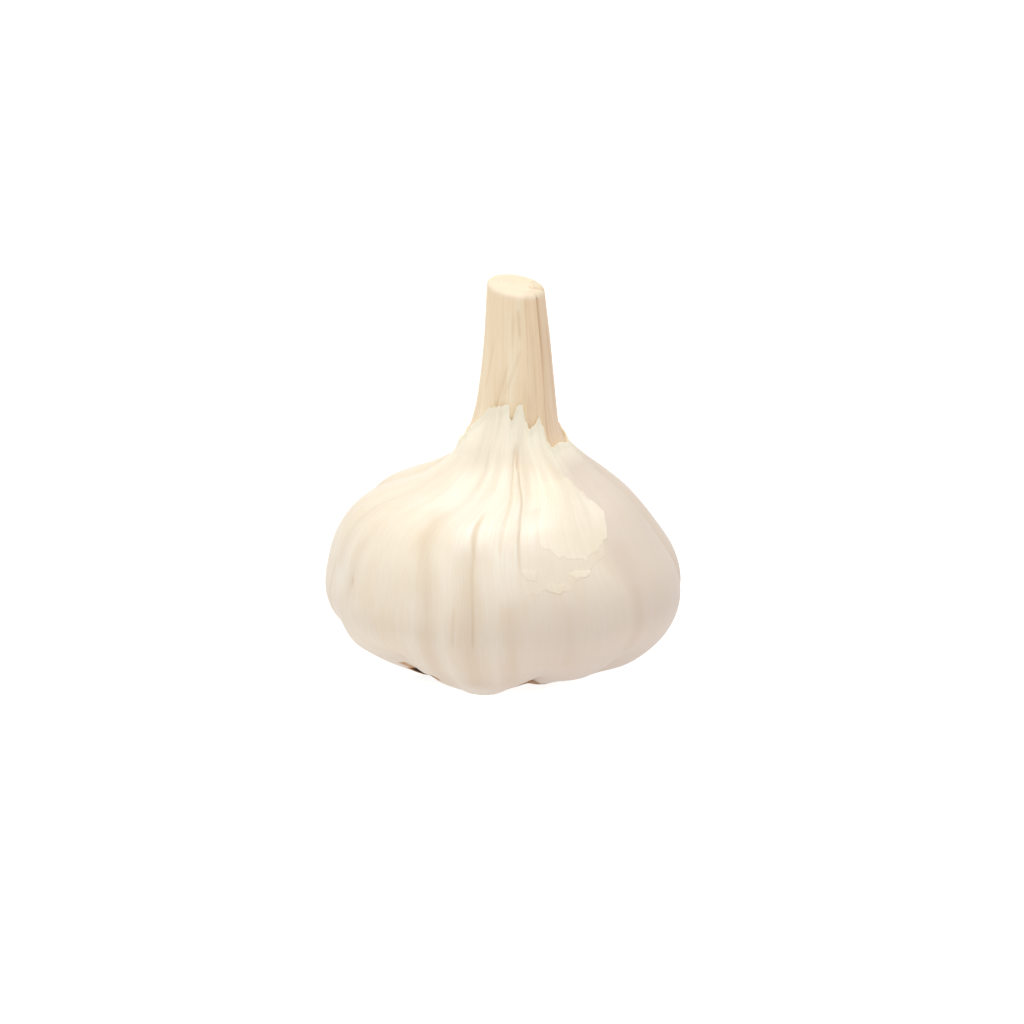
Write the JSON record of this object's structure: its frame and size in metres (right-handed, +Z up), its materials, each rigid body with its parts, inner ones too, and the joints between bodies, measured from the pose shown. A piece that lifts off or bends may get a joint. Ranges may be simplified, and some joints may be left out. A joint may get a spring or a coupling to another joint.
{
  "type": "garlic bulb",
  "caption": "Whole garlic bulb standing on its base, lobed cloves closed in a papery cream wrapper, with a cut tan neck, torn outer skins and a corky root plate.",
  "frame": {"origin": "on the surface that the bulb stands on, under the middle of the head's box", "axes": "+Z up along the neck, -Y the side that the picture shows, +X to the right in the picture"},
  "size_m": [0.0586, 0.0594, 0.0661],
  "materials": {
    "wrapper_cream": "dry papery skin, faint satin",
    "outer_skin_pale": "thin dry skin, satin",
    "sheath_tan": "dried leaf sheath, fibrous, matt",
    "sheath_warm_tan": "dried leaf sheath, fibrous, matt",
    "cut_cream": "cut dry fibre, matt",
    "root_brown": "corky, matt"
  },
  "bodies": {
    "root": {"bulb": "wrapper_cream", "neck_core": "cut_cream", "neck_sheath_left": "sheath_tan", "neck_sheath_middle": "sheath_tan", "neck_sheath_rear": "sheath_tan", "neck_sheath_right": "sheath_warm_tan", "torn_skin_front": "outer_skin_pale", "torn_skin_rear": "outer_skin_pale", "root_plate": "root_brown"}
  },
  "joints": []
}
